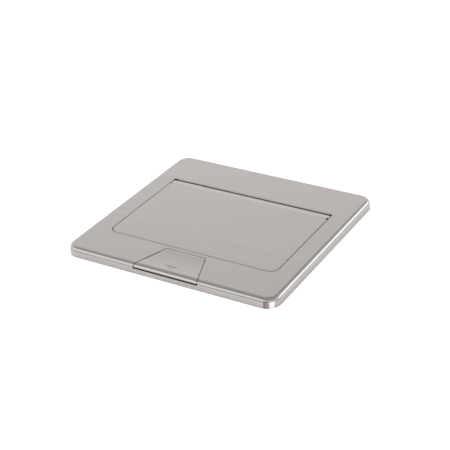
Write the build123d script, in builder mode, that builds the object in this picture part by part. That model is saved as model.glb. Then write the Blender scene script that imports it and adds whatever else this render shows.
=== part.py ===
"""Pop-up desk grommet: a square cover with a sprung lid that lifts a row of outlets.

Millimetres, +Z up. The origin is the middle of the cover, in the plane of the desk's top.
The front, where the latch slide is, looks along -Y.
"""

import os
from math import acos, asin, cos, degrees, pi, radians, sin, sqrt, tan

from build123d import *

# Cover
plate_width = 130.0
plate_depth = 130.0
plate_height = 5.6
plate_corner = 8.0
rim_radius = 2.8
skin = 2.0
skirt_wall = 2.4
edge_break = 0.35

# Lid
lid_side_margin = 13.15
lid_front_margin = 26.2
lid_rear_margin = 31.8
lid_gap = 0.45
lid_front_corner = 5.0
lid_rear_corner = 2.4
opening_rear_corner = 0.8
lid_skin = 2.0
lid_fall = 0.8
lid_fall_length = 5.5
relief_radius = 0.9
lip = 0.84
axis_depth = 6.0
stop_distance = 60.0
lid_opens = 50.0

# Fits
clearance = 0.3
running_fit = 0.05
thread_fit = 0.05

# Latch
slide_rear_width = 24.2
slide_front_width = 38.8
slide_length = 22.1
slide_sheet = 1.0
slide_corner = 1.5
slide_dish = 0.22
slide_lip = 0.85
slide_lip_depth = 1.6
slide_gap = 0.4
pocket_depth = 2.6
pocket_floor = 1.2
pocket_round = 1.5
latch_travel = 3.2
stem_width = 10.0
stem_length = 4.0
bolt_sheet = 1.2
bolt_width = 16.0
nose_width = 12.0
nose_catch = 0.8
wing_reach = 12.0
latch_spring_radius = 1.5
latch_wire = 0.2
arrow_width = 7.4
arrow_length = 4.6
arrow_depth = 0.3

# Frame and box under the cover
rim_lap = 9.0
box_depth = 62.0
box_wall = 1.5
box_corner = 6.0
frame_gap = 0.3
frame_wall = 1.6
frame_plate = 2.2
frame_skirt = 10.0
ledge_reach = 2.0
rod_radius = 1.5

# Outlet panel under the lid
panel_rail = 3.5
panel_sheet = 2.0
cheek_inset = 3.25
module_width = 22.5
module_height = 45.0
module_count = 4
module_gap = 0.1
module_proud = 0.2
sweep_clearance = 0.55
carrier_plate = 1.6
cheek_sheet = 1.6
lobe_radius = 10.0
stop_pin_radius = 1.5

# Damper gearing
gear_module = 0.6
sector_teeth = 48
pinion_teeth = 14
mesh_direction = -80.0
sector_from = -92.0
sector_to = -19.0
gear_sheet = 1.6
damper_radius = 7.0

# Desk clamps
desk_thickness = 25.0
claw_reach = 18.0
claw_width = 24.0
claw_sheet = 2.0
claw_up = 7.0

# Heights and places that follow from the sizes
top = plate_height
lid_width = plate_width - 2 * lid_side_margin
box_size_x = plate_width - 2 * rim_lap
box_size_y = plate_depth - 2 * rim_lap
skin_bottom = top - skin
pocket_bottom = top - pocket_depth
tray_bottom = pocket_bottom - pocket_floor
lid_front = -plate_depth / 2 + lid_front_margin
lid_rear = plate_depth / 2 - lid_rear_margin
axis_y = lid_rear - lid_fall_length
axis_z = top - axis_depth
opening_front = lid_front - lid_gap
opening_half = lid_width / 2 + lid_gap
opening_rear = lid_rear + lid_gap
pass_radius = sqrt((opening_rear - axis_y) ** 2 + (top - lip - axis_z) ** 2)
slide_rear = -plate_depth / 2 + 22.8
slide_slope = (slide_front_width - slide_rear_width) / 2 / slide_length
box_inner_x = box_size_x / 2 - box_wall
box_inner_y = box_size_y / 2 - box_wall
frame_half_x = box_inner_x - frame_gap
frame_half_y = box_inner_y - frame_gap
frame_inner_x = frame_half_x - frame_wall
frame_inner_y = frame_half_y - frame_wall
frame_bottom = skin_bottom - frame_plate

# The panel is a chord of the circle that clears the front of the lid opening
carrier_bottom = skin_bottom - carrier_plate
panel_height = module_height + 2 * panel_rail
panel_top_drop = 0.9
sweep_radius = axis_y - opening_front - sweep_clearance
panel_top_angle = 180 - degrees(asin((carrier_bottom - panel_top_drop - axis_z) / sweep_radius))
panel_half_angle = degrees(asin(panel_height / 2 / sweep_radius))
panel_angle = panel_top_angle + panel_half_angle
panel_distance = sweep_radius * cos(radians(panel_half_angle))
modules_width = module_count * module_width
module_half = modules_width / 2
cheek_outer = lid_width / 2 - cheek_inset
cheek_inner = cheek_outer - cheek_sheet

os.makedirs("parts", exist_ok=True)


def around_hinge(radius, angle):
    """Y and Z of a point at a distance and an angle from the hinge axis, 0 degrees towards +Y."""
    return (axis_y + radius * cos(radians(angle)), axis_z + radius * sin(radians(angle)))


panel_y, panel_z = around_hinge(panel_distance, panel_angle)
panel_plane = Plane(
    origin=(0, panel_y, panel_z),
    x_dir=(1, 0, 0),
    z_dir=(0, cos(radians(panel_angle)), sin(radians(panel_angle))),
)


def on_panel(x, up, out):
    """A point of the panel's own frame, in the part's frame."""
    return panel_plane.from_local_coords(Vector(x, up, out))


def place(shape, origin, z_dir, x_dir=(1, 0, 0)):
    """Moves a shape made along +Z so that it stands at origin along z_dir."""
    return shape.moved(Plane(origin=origin, x_dir=x_dir, z_dir=z_dir).location)


def finish(builder, node):
    """Names a finished sub-part and writes it to its own STEP file."""
    builder.part.label = node
    export_step(builder.part, "parts/" + node + ".step")


def pan_screw(radius, length, head_radius, head_height):
    """A pan-head screw whose head stands on z = 0 and whose shank runs along -Z."""
    with BuildPart() as screw:
        Cylinder(head_radius, head_height, align=(Align.CENTER, Align.CENTER, Align.MIN))
        fillet(screw.edges().group_by(Axis.Z)[-1], head_height * 0.4)
        Cylinder(radius, length, align=(Align.CENTER, Align.CENTER, Align.MAX))
        with Locations((0, 0, head_height)):
            slot = (head_radius * 1.1, head_radius * 0.3, head_height * 0.5)
            Box(*slot, align=(Align.CENTER, Align.CENTER, Align.MAX), mode=Mode.SUBTRACT)
            Box(slot[1], slot[0], slot[2], align=(Align.CENTER, Align.CENTER, Align.MAX),
                mode=Mode.SUBTRACT)
    return screw.part


def flat_screw(radius, length, head_radius, head_height):
    """A countersunk screw whose head ends at z = 0 and whose shank runs along -Z."""
    with BuildPart() as screw:
        Cylinder(radius, length, align=(Align.CENTER, Align.CENTER, Align.MAX))
        with Locations((0, 0, -head_height / 2)):
            Cone(radius, head_radius, head_height)
        slot = (head_radius * 1.1, head_radius * 0.3, head_height * 0.5)
        Box(*slot, align=(Align.CENTER, Align.CENTER, Align.MAX), mode=Mode.SUBTRACT)
        Box(slot[1], slot[0], slot[2], align=(Align.CENTER, Align.CENTER, Align.MAX),
            mode=Mode.SUBTRACT)
    return screw.part


def slide_half(y, gap):
    """Half the width of the slide's wedge outline at y, widened by a gap on its slanted side."""
    return slide_rear_width / 2 + (slide_rear - y) * slide_slope + gap * sqrt(1 + slide_slope**2)


def wedge_points(rear, front, gap):
    """The corners of the slide's wedge between two places along Y."""
    rear_half = slide_half(rear, gap)
    front_half = slide_half(front, gap)
    return [(-rear_half, rear), (rear_half, rear), (front_half, front), (-front_half, front)]


# ---------------------------------------------------------------- cover
with BuildPart() as cover_blank:
    with BuildSketch():
        RectangleRounded(plate_width, plate_depth, plate_corner)
    extrude(amount=plate_height)
    fillet(cover_blank.faces().sort_by(Axis.Z)[-1].edges(), rim_radius)

stud_x = frame_inner_x - 6.6
stud_y = frame_inner_y - 6.6
stud_places = [(x, y) for x in (-stud_x, stud_x) for y in (-stud_y, stud_y)]
stud_radius = 1.5
nut_height = 2.2
boss_x = slide_half(-plate_depth / 2, slide_gap) - 0.8
boss_y = slide_rear - 5.4
boss_radius = 2.4
boss_bottom = 1.0
guide_screw_radius = 1.25
stem_y = slide_rear - 5.8
slot_rear = stem_y + stem_length / 2 + clearance
slot_front = stem_y - stem_length / 2 - latch_travel - clearance

with BuildPart() as cover_frame:
    add(cover_blank.part)
    with BuildSketch():
        RectangleRounded(
            plate_width - 2 * skirt_wall, plate_depth - 2 * skirt_wall, plate_corner - skirt_wall
        )
    extrude(amount=skin_bottom, mode=Mode.SUBTRACT)
    # tray under the latch pocket
    with BuildSketch(Plane.XY.offset(tray_bottom)):
        with BuildLine():
            Polyline(*wedge_points(slide_rear + 1.3, -plate_depth / 2 + 1.5, 1.2), close=True)
        make_face()
    extrude(amount=skin_bottom - tray_bottom)
    # pocket, open to the front, with rounded lower corners
    with BuildSketch(Plane.XY.offset(pocket_bottom)) as pocket_outline:
        with BuildLine():
            Polyline(*wedge_points(slide_rear + slide_gap, -plate_depth / 2 - 1, slide_gap), close=True)
        make_face()
        fillet(pocket_outline.vertices().group_by(Axis.Y)[-1], slide_corner + slide_gap)
    with BuildPart(mode=Mode.PRIVATE) as pocket:
        add(extrude(pocket_outline.sketch, amount=plate_height, mode=Mode.PRIVATE))
        fillet(
            pocket.faces().sort_by(Axis.Z)[0].edges().filter_by(
                lambda edge: edge.center().Y > -plate_depth / 2
            ),
            pocket_round,
        )
    add(pocket.part, mode=Mode.SUBTRACT)
    # slot for the slide's stem
    with BuildSketch(Plane.XY.offset(tray_bottom)):
        with Locations((0, (slot_rear + slot_front) / 2)):
            RectangleRounded(stem_width + 2 * clearance, slot_rear - slot_front, 0.8)
    extrude(amount=pocket_floor, mode=Mode.SUBTRACT)
    # lid opening
    with BuildSketch(Plane.XY.offset(skin_bottom)) as lid_opening:
        with Locations((0, (opening_front + opening_rear) / 2)):
            Rectangle(2 * opening_half, opening_rear - opening_front)
        fillet(lid_opening.vertices().group_by(Axis.Y)[0], lid_front_corner + lid_gap)
        fillet(lid_opening.vertices().group_by(Axis.Y)[-1], opening_rear_corner)
    extrude(amount=skin, mode=Mode.SUBTRACT)
    # broken edges round the lid opening and the pocket
    upper = cover_frame.faces().sort_by(Axis.Z)[-1]
    fillet(upper.inner_wires().edges(), edge_break)
    # the strip behind the lid is thinned from below, where the lid's rear edge turns under it
    with BuildPart(mode=Mode.PRIVATE) as rear_way:
        with Locations((0, axis_y, axis_z)):
            Cylinder(pass_radius, 2 * opening_half, rotation=(0, 90, 0))
        with Locations((0, axis_y, top - lip)):
            Box(plate_width, plate_depth, plate_height, mode=Mode.INTERSECT,
                align=(Align.CENTER, Align.CENTER, Align.MAX))
    add(rear_way.part, mode=Mode.SUBTRACT)
    # welded studs that hold the frame, and bosses for the latch guide
    with Locations(*[(x, y, skin_bottom) for x, y in stud_places]):
        Cylinder(stud_radius, frame_plate + nut_height + 1.0,
                 align=(Align.CENTER, Align.CENTER, Align.MAX))
    with Locations((-boss_x, boss_y, skin_bottom), (boss_x, boss_y, skin_bottom)):
        Cylinder(boss_radius, skin_bottom - boss_bottom, align=(Align.CENTER, Align.CENTER, Align.MAX))
    with Locations((-boss_x, boss_y, boss_bottom), (boss_x, boss_y, boss_bottom)):
        Cylinder(guide_screw_radius + thread_fit, 3.2,
                 align=(Align.CENTER, Align.CENTER, Align.MIN), mode=Mode.SUBTRACT)
finish(cover_frame, "cover_frame")

gasket_width = 4.0
desk_cutout_x = box_size_x + 2.0
desk_cutout_y = box_size_y + 2.0
with BuildPart() as desk_gasket:
    with BuildSketch():
        RectangleRounded(desk_cutout_x + 1 + 2 * gasket_width, desk_cutout_y + 1 + 2 * gasket_width, 5)
        RectangleRounded(desk_cutout_x + 1, desk_cutout_y + 1, 2, mode=Mode.SUBTRACT)
    extrude(amount=skin_bottom)
    with BuildSketch(Plane.XY.offset(tray_bottom)):
        with Locations((0, -plate_depth / 2)):
            Rectangle(2 * slide_half(-plate_depth / 2, 2.0), plate_depth / 4)
    extrude(amount=skin_bottom, mode=Mode.SUBTRACT)
finish(desk_gasket, "desk_gasket")

# ---------------------------------------------------------------- frame under the cover
window_half = opening_half + clearance
arm_inner = boss_x + 4.0
ledge_top = pocket_bottom
ledge_rear = axis_y - 9.5
bracket_screw_places = [-28.0, 0.0, 28.0]
bracket_screw_z = -6.5
box_screw_y = 42.0
box_screw_z = -5.0
box_screw_radius = 1.5
box_screw_head = 2.8
flat_head = 1.2

with BuildPart() as hinge_frame:
    with BuildSketch(Plane.XY.offset(frame_bottom)):
        RectangleRounded(2 * frame_half_x, 2 * frame_half_y, box_corner - box_wall - frame_gap)
    extrude(amount=frame_plate)
    # walls that hang down inside the box
    with BuildSketch(Plane.XY.offset(frame_bottom - frame_skirt)):
        RectangleRounded(2 * frame_half_x, 2 * frame_half_y, box_corner - box_wall - frame_gap)
        RectangleRounded(2 * frame_inner_x, 2 * frame_inner_y, 2.5, mode=Mode.SUBTRACT)
    extrude(amount=frame_skirt)
    # bosses for the box screws
    for side in (-1, 1):
        for y in (-box_screw_y, box_screw_y):
            with Locations((side * (frame_inner_x - 1.0), y, box_screw_z)):
                Cylinder(3.2, 2.2, rotation=(0, 90, 0))
    # window for the lid, with a ledge under its sides
    window_centre = (opening_front - clearance + opening_rear + clearance) / 2
    with BuildSketch(Plane.XY.offset(frame_bottom)):
        with Locations((0, window_centre)):
            RectangleRounded(
                2 * (window_half - ledge_reach), opening_rear - opening_front + 2 * clearance, 1.5
            )
    extrude(amount=frame_plate, mode=Mode.SUBTRACT)
    with BuildSketch(Plane.XY.offset(ledge_top)):
        with Locations((0, window_centre)):
            Rectangle(2 * window_half, opening_rear - opening_front + 2 * clearance)
    extrude(amount=skin, mode=Mode.SUBTRACT)
    # no ledge beside the hinge, where the lid's ends turn
    with BuildSketch(Plane.XY.offset(frame_bottom)):
        with Locations((0, (ledge_rear + opening_rear + clearance) / 2)):
            Rectangle(2 * frame_inner_x, opening_rear + clearance - ledge_rear)
    extrude(amount=frame_plate, mode=Mode.SUBTRACT)
    with Locations((0, axis_y, axis_z)):
        Cylinder(pass_radius + clearance, 2 * window_half, rotation=(0, 90, 0), mode=Mode.SUBTRACT)
    # the front is open for the latch
    with BuildSketch(Plane.XY.offset(frame_bottom - frame_skirt)):
        with Locations((0, (opening_front - frame_half_y) / 2 - 1)):
            Rectangle(2 * arm_inner, frame_half_y + opening_front + 4)
    extrude(amount=frame_skirt + frame_plate, mode=Mode.SUBTRACT)
    # holes: studs, hinge rod, box screws, bracket screws
    with Locations(*[(x, y, skin_bottom) for x, y in stud_places]):
        Cylinder(stud_radius + 0.15, frame_plate, align=(Align.CENTER, Align.CENTER, Align.MAX),
                 mode=Mode.SUBTRACT)
    with Locations((0, axis_y, axis_z)):
        Cylinder(rod_radius + 0.02, 2 * box_size_x, rotation=(0, 90, 0), mode=Mode.SUBTRACT)
    with Locations((0, -box_screw_y, box_screw_z), (0, box_screw_y, box_screw_z)):
        Cylinder(box_screw_radius + thread_fit, 2 * box_size_x, rotation=(0, 90, 0), mode=Mode.SUBTRACT)
    with Locations(*[(x, frame_half_y, bracket_screw_z) for x in bracket_screw_places]):
        Cylinder(box_screw_radius + thread_fit, 4 * frame_wall, rotation=(90, 0, 0), mode=Mode.SUBTRACT)
    with Locations(*[(x, frame_half_y - flat_head / 2, bracket_screw_z) for x in bracket_screw_places]):
        Cone(box_screw_radius + thread_fit, box_screw_head + 0.1, flat_head, rotation=(-90, 0, 0),
             mode=Mode.SUBTRACT)
finish(hinge_frame, "hinge_frame")

with BuildPart() as cover_nuts:
    with BuildSketch(Plane.XY.offset(frame_bottom - nut_height)):
        with Locations(*stud_places):
            RegularPolygon(3.1, 6)
            Circle(stud_radius + thread_fit, mode=Mode.SUBTRACT)
    extrude(amount=nut_height)
finish(cover_nuts, "cover_nuts")

pad_height = skin_bottom - ledge_top - 0.25
pad_places = [(side * (window_half - ledge_reach / 2), y) for side in (-1, 1)
              for y in (lid_front + 9, ledge_rear - 6)]
with BuildPart() as lid_bumpers:
    with BuildSketch(Plane.XY.offset(ledge_top)):
        with Locations(*pad_places):
            RectangleRounded(ledge_reach - 0.6, 7.0, 0.5)
    extrude(amount=pad_height)
finish(lid_bumpers, "lid_bumpers")

with BuildPart() as hinge_rod:
    with Locations((0, axis_y, axis_z)):
        Cylinder(rod_radius, 2 * frame_half_x, rotation=(0, 90, 0))
    chamfer(hinge_rod.edges().filter_by(GeomType.CIRCLE), 0.3)
finish(hinge_rod, "hinge_rod")

# ---------------------------------------------------------------- lid
def hinge_sector(start, end, reach):
    """A wedge round the hinge axis, from one angle to another, as wide as the lid."""
    with BuildPart() as sector:
        with BuildSketch(Plane.YZ.offset(-lid_width)):
            with BuildLine():
                first = around_hinge(reach, start)
                middle = around_hinge(reach, (start + end) / 2)
                last = around_hinge(reach, end)
                Line((axis_y, axis_z), first)
                ThreePointArc(first, middle, last)
                Line(last, (axis_y, axis_z))
            make_face()
        extrude(amount=2 * lid_width)
    return sector.part


lid_boss_x = cheek_inner - 7.0
lid_boss_places = [(x, y) for x in (-lid_boss_x, lid_boss_x)
                   for y in (lid_front + 7.8, axis_y - 12.7)]
lid_boss_radius = 2.4
lid_screw_radius = 1.25
fall_radius = (lid_fall_length**2 + lid_fall**2) / (2 * lid_fall)


def fall_point(y):
    """Y and Z of the lid's upper surface behind the hinge line, where it curves down."""
    return (y, top - fall_radius + sqrt(fall_radius**2 - (y - axis_y) ** 2))


with BuildPart() as lid_panel:
    with BuildSketch(Plane.XY.offset(skin_bottom)) as lid_outline:
        with Locations((0, (lid_front + lid_rear) / 2)):
            Rectangle(lid_width, lid_rear - lid_front)
        fillet(lid_outline.vertices().group_by(Axis.Y)[0], lid_front_corner)
        fillet(lid_outline.vertices().group_by(Axis.Y)[-1], lid_rear_corner)
    extrude(amount=lid_skin)
    # the rear curves down towards the edge
    with BuildSketch(Plane.YZ.offset(-lid_width)):
        with BuildLine():
            ThreePointArc((axis_y, top), fall_point((axis_y + lid_rear) / 2), fall_point(lid_rear + 1))
            Polyline(fall_point(lid_rear + 1), (lid_rear + 1, top + 1), (axis_y, top + 1), (axis_y, top))
        make_face()
    extrude(amount=2 * lid_width, mode=Mode.SUBTRACT)
    fillet(
        lid_panel.edges().filter_by(
            lambda edge: edge.center().Z > top - lid_fall - 0.05
            and abs(edge.center().X) + abs(edge.center().Y - axis_y) > 0.1
        ),
        edge_break,
    )
    # relief at each side, where the flat sheet ends and the curve begins
    with Locations((-lid_width / 2, axis_y, top), (lid_width / 2, axis_y, top)):
        Cylinder(relief_radius, 4 * lid_skin, mode=Mode.SUBTRACT)
    with Locations(*[(x, y, skin_bottom) for x, y in lid_boss_places]):
        Cylinder(lid_boss_radius, carrier_plate, align=(Align.CENTER, Align.CENTER, Align.MAX))
    with Locations(*[(x, y, carrier_bottom) for x, y in lid_boss_places]):
        Cylinder(lid_screw_radius + thread_fit, carrier_plate + 1.0,
                 align=(Align.CENTER, Align.CENTER, Align.MIN), mode=Mode.SUBTRACT)
finish(lid_panel, "lid_panel")

# ---------------------------------------------------------------- carrier with two cheeks
hub_radius = rod_radius + 1.9
stop_height = frame_bottom - clearance - stop_pin_radius - axis_z
stop_angle = 180 + lid_opens - degrees(asin(stop_height / stop_distance))
sector_screw_radius = 1.0
sector_screw_places = [around_hinge(7.3, -38.0), around_hinge(7.3, -72.0)]
frame_screw_places = [on_panel(0, up, -9.0) for up in (-14.0, 14.0)]
frame_screw_radius = 1.25
panel_back_top = on_panel(0, panel_height / 2, -panel_sheet)
panel_back_bottom = on_panel(0, -panel_height / 2, -panel_sheet)

with BuildPart() as cheek:
    with BuildSketch(Plane.YZ.offset(cheek_inner)):
        with BuildLine():
            Polyline(
                (axis_y - 2.0, carrier_bottom),
                (panel_back_top.Y, carrier_bottom),
                (panel_back_bottom.Y, panel_back_bottom.Z),
                around_hinge(stop_distance + 2.2, stop_angle + 3.0),
                around_hinge(lobe_radius, sector_from - 20.0),
                (axis_y, axis_z),
                close=True,
            )
        make_face()
        with Locations((axis_y, axis_z)):
            Circle(hub_radius)
    extrude(amount=cheek_sheet)
    with BuildPart(mode=Mode.PRIVATE) as lobe:
        with BuildSketch(Plane.YZ.offset(cheek_inner)):
            with Locations((axis_y, axis_z)):
                Circle(lobe_radius)
        extrude(amount=cheek_sheet)
        add(hinge_sector(sector_from - 20.0, sector_to, 2 * lobe_radius), mode=Mode.INTERSECT)
    add(lobe.part)
    with Locations((cheek_outer, *around_hinge(stop_distance, stop_angle))):
        Cylinder(stop_pin_radius, window_half - ledge_reach + 1.4 - cheek_outer,
                 rotation=(0, 90, 0), align=(Align.CENTER, Align.CENTER, Align.MIN))
    with Locations((cheek_inner, axis_y, axis_z)):
        Cylinder(rod_radius + running_fit, 4 * cheek_sheet, rotation=(0, 90, 0), mode=Mode.SUBTRACT)
    with Locations(*[(cheek_inner, point.Y, point.Z) for point in frame_screw_places]):
        Cylinder(frame_screw_radius + thread_fit, 4 * cheek_sheet, rotation=(0, 90, 0),
                 mode=Mode.SUBTRACT)
    with Locations(*[(cheek_inner, y, z) for y, z in sector_screw_places]):
        Cylinder(sector_screw_radius + thread_fit, 4 * cheek_sheet, rotation=(0, 90, 0),
                 mode=Mode.SUBTRACT)

bar_front = lid_front + 2.2
bar_depth = 9.0
rear_bar_front = axis_y - 19.0
rear_bar_rear = axis_y - 7.0
with BuildPart() as lid_carrier:
    with BuildSketch(Plane.XY.offset(carrier_bottom)):
        with Locations((0, (bar_front + rear_bar_rear) / 2)):
            Rectangle(2 * cheek_outer, rear_bar_rear - bar_front)
        window_low = bar_front + bar_depth
        with Locations((0, (window_low + rear_bar_front) / 2)):
            RectangleRounded(2 * (cheek_inner - 3.0), rear_bar_front - window_low, 3.0,
                             mode=Mode.SUBTRACT)
    extrude(amount=carrier_plate)
    add(cheek.part)
    add(mirror(cheek.part, about=Plane.YZ, mode=Mode.PRIVATE))
    with Locations(*[(x, y, skin_bottom) for x, y in lid_boss_places]):
        Cylinder(lid_boss_radius + 0.1, carrier_plate, align=(Align.CENTER, Align.CENTER, Align.MAX),
                 mode=Mode.SUBTRACT)
finish(lid_carrier, "lid_carrier")

with BuildPart() as lid_screws:
    screw = pan_screw(lid_screw_radius, carrier_plate + 0.9, 3.2, 1.2)
    for x, y in lid_boss_places:
        add(place(screw, (x, y, carrier_bottom), (0, 0, -1)))
finish(lid_screws, "lid_screws")

# ---------------------------------------------------------------- outlet panel
flange_outer = cheek_inner - 0.2
flange_sheet = 1.2
nose_low = 0.3
nose_high = nose_low + bolt_sheet
nose_rise = (nose_low + nose_high) / 2 - axis_z
nose_tip = axis_y - sqrt((sweep_radius - nose_catch) ** 2 - nose_rise**2)
notch_half = nose_width / 2 + 0.6
keeper_screw_x = notch_half + 2.8
keeper_half = keeper_screw_x + 2.6
keeper_sheet = 1.4
keeper_low = module_height / 2 + module_gap
keeper_up = (keeper_low + panel_height / 2) / 2
keeper_screw_radius = 0.8
keeper_head = 1.3
keeper_head_height = 0.8

with BuildPart() as latch_way:
    with Locations((0, lid_front + 2, (nose_low + nose_high) / 2)):
        Box(2 * notch_half, 16, bolt_sheet + 0.9)

with BuildPart() as module_frame:
    with BuildSketch(panel_plane.offset(-panel_sheet)):
        Rectangle(2 * cheek_outer, panel_height)
        Rectangle(modules_width + 2 * module_gap, module_height + 2 * module_gap, mode=Mode.SUBTRACT)
    extrude(amount=panel_sheet)
    fillet(
        module_frame.edges().filter_by(lambda e: e.length > panel_sheet - 0.01
                                       and e.length < panel_sheet + 0.01
                                       and abs(abs(e.center().X) - cheek_outer) < 0.01),
        1.2,
    )
    for side in (-1, 1):
        with BuildSketch(panel_plane.offset(-14.0)):
            with Locations((side * (flange_outer - flange_sheet / 2), 0)):
                Rectangle(flange_sheet, 40.0)
        extrude(amount=14.0 - panel_sheet / 2)
    # seat for the keeper in the upper rail, and a way past the latch's nose in the lower one
    with BuildSketch(panel_plane.offset(-keeper_sheet)):
        with Locations((0, keeper_up + 0.5)):
            Rectangle(2 * keeper_half + 0.1, panel_height / 2 - keeper_low + 1.0)
        with Locations((0, -keeper_up - 0.5)):
            Rectangle(2 * notch_half, panel_height / 2 - keeper_low + 1.0)
    extrude(amount=2 * panel_sheet, mode=Mode.SUBTRACT)
    add(latch_way.part, mode=Mode.SUBTRACT)
    with Locations(*[(0, point.Y, point.Z) for point in frame_screw_places]):
        Cylinder(frame_screw_radius + thread_fit, 4 * cheek_outer, rotation=(0, 90, 0),
                 mode=Mode.SUBTRACT)
    with Locations(panel_plane.location):
        with Locations((-keeper_screw_x, keeper_up, 0), (keeper_screw_x, keeper_up, 0)):
            Cylinder(keeper_screw_radius + thread_fit, 4 * panel_sheet, mode=Mode.SUBTRACT)
finish(module_frame, "module_frame")

with BuildPart() as frame_screws:
    screw = pan_screw(frame_screw_radius, cheek_outer - flange_outer + flange_sheet, 2.2, 1.1)
    for side in (-1, 1):
        for point in frame_screw_places:
            add(place(screw, (side * cheek_outer, point.Y, point.Z), (side, 0, 0), (0, 1, 0)))
finish(frame_screws, "frame_screws")

with BuildPart() as latch_keeper:
    with BuildSketch(panel_plane.offset(-keeper_sheet)):
        with Locations((0, keeper_up)):
            Rectangle(2 * keeper_half, panel_height / 2 - keeper_low)
    extrude(amount=keeper_sheet)
    add(latch_way.part, mode=Mode.SUBTRACT)
    with Locations(panel_plane.location):
        with Locations((-keeper_screw_x, keeper_up, 0), (keeper_screw_x, keeper_up, 0)):
            Cylinder(keeper_screw_radius + thread_fit, 4 * panel_sheet, mode=Mode.SUBTRACT)
        with Locations((-keeper_screw_x, keeper_up, -keeper_head_height / 2),
                       (keeper_screw_x, keeper_up, -keeper_head_height / 2)):
            Cone(keeper_screw_radius + thread_fit, keeper_head, keeper_head_height,
                 mode=Mode.SUBTRACT)
finish(latch_keeper, "latch_keeper")

with BuildPart() as keeper_screws:
    screw = flat_screw(keeper_screw_radius, panel_sheet, keeper_head - 0.1, keeper_head_height)
    for side in (-1, 1):
        add(place(screw, on_panel(side * keeper_screw_x, keeper_up, -0.05), panel_plane.z_dir))
finish(keeper_screws, "keeper_screws")

# ---------------------------------------------------------------- inserts in the panel
body_height = 34.0
body_depth = 20.0
socket_x = -module_half + module_width
charger_x = module_half - 1.5 * module_width
data_x = module_half - 0.5 * module_width
socket_radius = 19.3
socket_wall = 1.2
socket_recess = 15.5
face_height = module_height - module_gap
recess_floor = module_proud - socket_recess

with BuildPart() as socket_insert:
    with BuildSketch(panel_plane.offset(-panel_sheet)):
        with Locations((socket_x, 0)):
            Rectangle(2 * module_width - module_gap, face_height)
    extrude(amount=panel_sheet + module_proud)
    fillet(
        socket_insert.edges().filter_by(
            lambda e: panel_plane.to_local_coords(e.center()).Z > module_proud - 0.01
        ),
        0.6,
    )
    with BuildSketch(panel_plane.offset(recess_floor - 2.2)):
        with Locations((socket_x, 0)):
            Circle(socket_radius + socket_wall)
    extrude(amount=socket_recess + 2.2 - module_proud - 1.0)
    with BuildSketch(panel_plane.offset(recess_floor)):
        with Locations((socket_x, 0)):
            Circle(socket_radius)
            # ribs that guide the plug
            with Locations((-socket_radius, 0), (socket_radius, 0)):
                Rectangle(4.0, 5.0, mode=Mode.SUBTRACT)
    extrude(amount=2 * socket_recess, mode=Mode.SUBTRACT)
    with Locations(panel_plane.offset(recess_floor).location):
        with Locations((socket_x - 9.5, 0, 0), (socket_x + 9.5, 0, 0)):
            Cylinder(2.75, 1.6, align=(Align.CENTER, Align.CENTER, Align.MAX), mode=Mode.SUBTRACT)
        with Locations((socket_x, 0, 0)):
            Cylinder(1.6, 1.2, align=(Align.CENTER, Align.CENTER, Align.MAX), mode=Mode.SUBTRACT)
        # ways for the earth clips through the recess's wall
        with Locations((socket_x, socket_radius + 0.6, 6.5), (socket_x, -socket_radius - 0.6, 6.5)):
            Box(5.0, 4.4, 11.0, mode=Mode.SUBTRACT)
finish(socket_insert, "socket_insert")

clip_sheet = 0.8
with BuildPart() as socket_earth_clips:
    for side in (-1, 1):
        with BuildSketch(Plane(origin=on_panel(socket_x - 2.0, 0, recess_floor),
                               x_dir=panel_plane.y_dir, z_dir=panel_plane.x_dir)) as clip_side:
            with BuildLine():
                # outer strip, bent inwards at the mouth so that it presses on the plug
                Polyline(
                    (side * (socket_radius + 0.6), 2.4),
                    (side * (socket_radius + 0.6), 9.4),
                    (side * (socket_radius - 1.6), 6.0),
                    (side * (socket_radius - 0.8), 2.4),
                )
            trace(line_width=clip_sheet)
        extrude(amount=4.0)
finish(socket_earth_clips, "socket_earth_clips")

with BuildPart() as socket_terminals:
    with BuildSketch(panel_plane.offset(recess_floor - 2.2 - 7.0)):
        with Locations((socket_x - 9.5, -4.0), (socket_x, -4.0), (socket_x + 9.5, -4.0)):
            RectangleRounded(7.0, 9.0, 1.0)
    extrude(amount=7.0)
    with Locations(panel_plane.offset(recess_floor - 2.2 - 7.0).location):
        with Locations(*[(socket_x + x, -4.0, 0) for x in (-9.5, 0, 9.5)]):
            Cylinder(1.6, 3.0, align=(Align.CENTER, Align.CENTER, Align.MIN), mode=Mode.SUBTRACT)
finish(socket_terminals, "socket_terminals")


def insert_body(x):
    """The face and the body that the two narrow inserts share."""
    with BuildPart() as insert:
        with BuildSketch(panel_plane.offset(-panel_sheet)):
            with Locations((x, 0)):
                Rectangle(module_width - module_gap, face_height)
        extrude(amount=panel_sheet + module_proud)
        fillet(
            insert.edges().filter_by(
                lambda e: panel_plane.to_local_coords(e.center()).Z > module_proud - 0.01
            ),
            0.5,
        )
        with BuildSketch(panel_plane.offset(-body_depth)):
            with Locations((x, 0)):
                RectangleRounded(module_width - 2.5, body_height, 1.0)
        extrude(amount=body_depth - panel_sheet / 2)
    return insert.part


port_width = 12.5
port_height = 5.2
port_depth = 12.0
port_ups = (-7.0, 7.0)
with BuildPart() as charger_insert:
    add(insert_body(charger_x))
    with BuildSketch(panel_plane.offset(module_proud - port_depth)):
        with Locations(*[(charger_x, up) for up in port_ups]):
            RectangleRounded(port_width, port_height, 0.4)
    extrude(amount=2 * port_depth, mode=Mode.SUBTRACT)
finish(charger_insert, "charger_insert")

with BuildPart() as charger_tongues:
    with BuildSketch(panel_plane.offset(module_proud - port_depth)):
        with Locations(*[(charger_x, up + 0.6) for up in port_ups]):
            Rectangle(port_width - 1.6, 1.8)
    extrude(amount=port_depth - 2.5)
finish(charger_tongues, "charger_tongues")

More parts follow.
